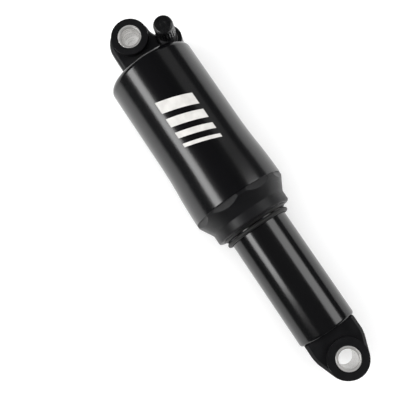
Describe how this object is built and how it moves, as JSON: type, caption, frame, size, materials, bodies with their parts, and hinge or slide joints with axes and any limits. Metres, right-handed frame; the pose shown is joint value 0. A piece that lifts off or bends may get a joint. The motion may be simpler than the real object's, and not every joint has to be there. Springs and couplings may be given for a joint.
{
  "type": "bicycle rear shock",
  "caption": "Bicycle rear shock: black air can over a sliding damper tube, eyelets with bright bushes at both ends, side air valve and screwed cap.",
  "frame": {"origin": "centre of the upper eye's bore, half-way along it", "axes": "+X from the upper eye to the lower eye, +Z along both eye bores towards the valve cap, +Y towards the side with the air valve"},
  "size_m": [0.1833, 0.043, 0.0441],
  "materials": {
    "gloss_black": "gloss black anodised",
    "satin_black": "satin black anodised",
    "tube_black": "hard black anodised and polished",
    "bright_bush": "turned and bright",
    "shaft_steel": "ground and plated",
    "spring_steel": "plain",
    "bare_aluminium": "machined",
    "valve_brass": "machined",
    "black_rubber": "matt",
    "bumper_rubber": "matt",
    "bearing_plastic": "filled, sliding",
    "black_plastic": "moulded",
    "black_steel": "black oxide"
  },
  "bodies": {
    "can_side": {"upper_eyelet_head": "satin_black", "upper_eye_bush": "bright_bush", "air_can": "gloss_black", "head_o_ring": "black_rubber", "seal_head_nut": "satin_black", "seal_head_o_ring": "black_rubber", "guide_bush": "bearing_plastic", "main_seal": "black_rubber", "wiper_seal": "black_rubber", "damper_shaft": "shaft_steel", "bottom_out_bumper": "bumper_rubber", "top_out_bumper": "bumper_rubber", "base_washer": "spring_steel", "compression_shims": "spring_steel", "main_piston": "bare_aluminium", "main_piston_band": "bearing_plastic", "rebound_shims": "spring_steel", "lock_nut": "spring_steel", "valve_stem": "black_steel", "valve_seal": "black_rubber", "valve_core": "valve_brass"},
    "tube_side": {"damper_body": "tube_black", "air_piston": "bare_aluminium", "air_piston_seal": "black_rubber", "air_piston_glide": "bearing_plastic", "shaft_bushing": "bearing_plastic", "shaft_seal": "black_rubber", "damper_lid_o_ring": "black_rubber", "lower_eyelet": "satin_black", "lower_eye_bush": "bright_bush", "lower_eyelet_o_ring": "black_rubber", "gas_fill_screw": "black_steel"},
    "floating_piston": {"floating_piston": "bare_aluminium", "floating_piston_o_ring": "black_rubber"},
    "travel_ring": {"travel_ring": "black_rubber"},
    "cap_seal": {"valve_cap_seal": "black_rubber"},
    "cap": {"valve_cap": "black_plastic"},
    "core_pin": {"valve_pin": "valve_brass"}
  },
  "joints": [
    {"name": "stroke", "type": "slide", "parent": "can_side", "child": "tube_side", "axis": [-1, 0, 0], "range_m": [0, 0.038], "stiffness_N_per_m": 1500, "springref_m": -0.02},
    {"name": "floating_piston_slide", "type": "slide", "parent": "tube_side", "child": "floating_piston", "axis": [1, 0, 0], "range_m": [0, 0.007]},
    {"name": "travel_ring_slide", "type": "slide", "parent": "tube_side", "child": "travel_ring", "axis": [1, 0, 0], "range_m": [0, 0.038]},
    {"name": "cap_lift", "type": "slide", "parent": "can_side", "child": "cap_seal", "axis": [0, 0, 1], "range_m": [0, 0.0059]},
    {"name": "cap_turn", "type": "hinge", "parent": "cap_seal", "child": "cap", "pos_m": [0.0083, 0.014, 0], "axis": [0, 0, 1], "range_deg": [0, 2700]},
    {"name": "core_pin_press", "type": "slide", "parent": "can_side", "child": "core_pin", "axis": [0, 0, -1], "range_m": [0, 0.0012], "stiffness_N_per_m": 1500}
  ],
  "couplings": [
    {"joint": "floating_piston_slide", "follows": "stroke", "ratio": 0.17687},
    {"joint": "travel_ring_slide", "follows": "stroke", "ratio": 1},
    {"joint": "cap_turn", "follows": "cap_lift", "rad_per_m": 7913.3}
  ]
}
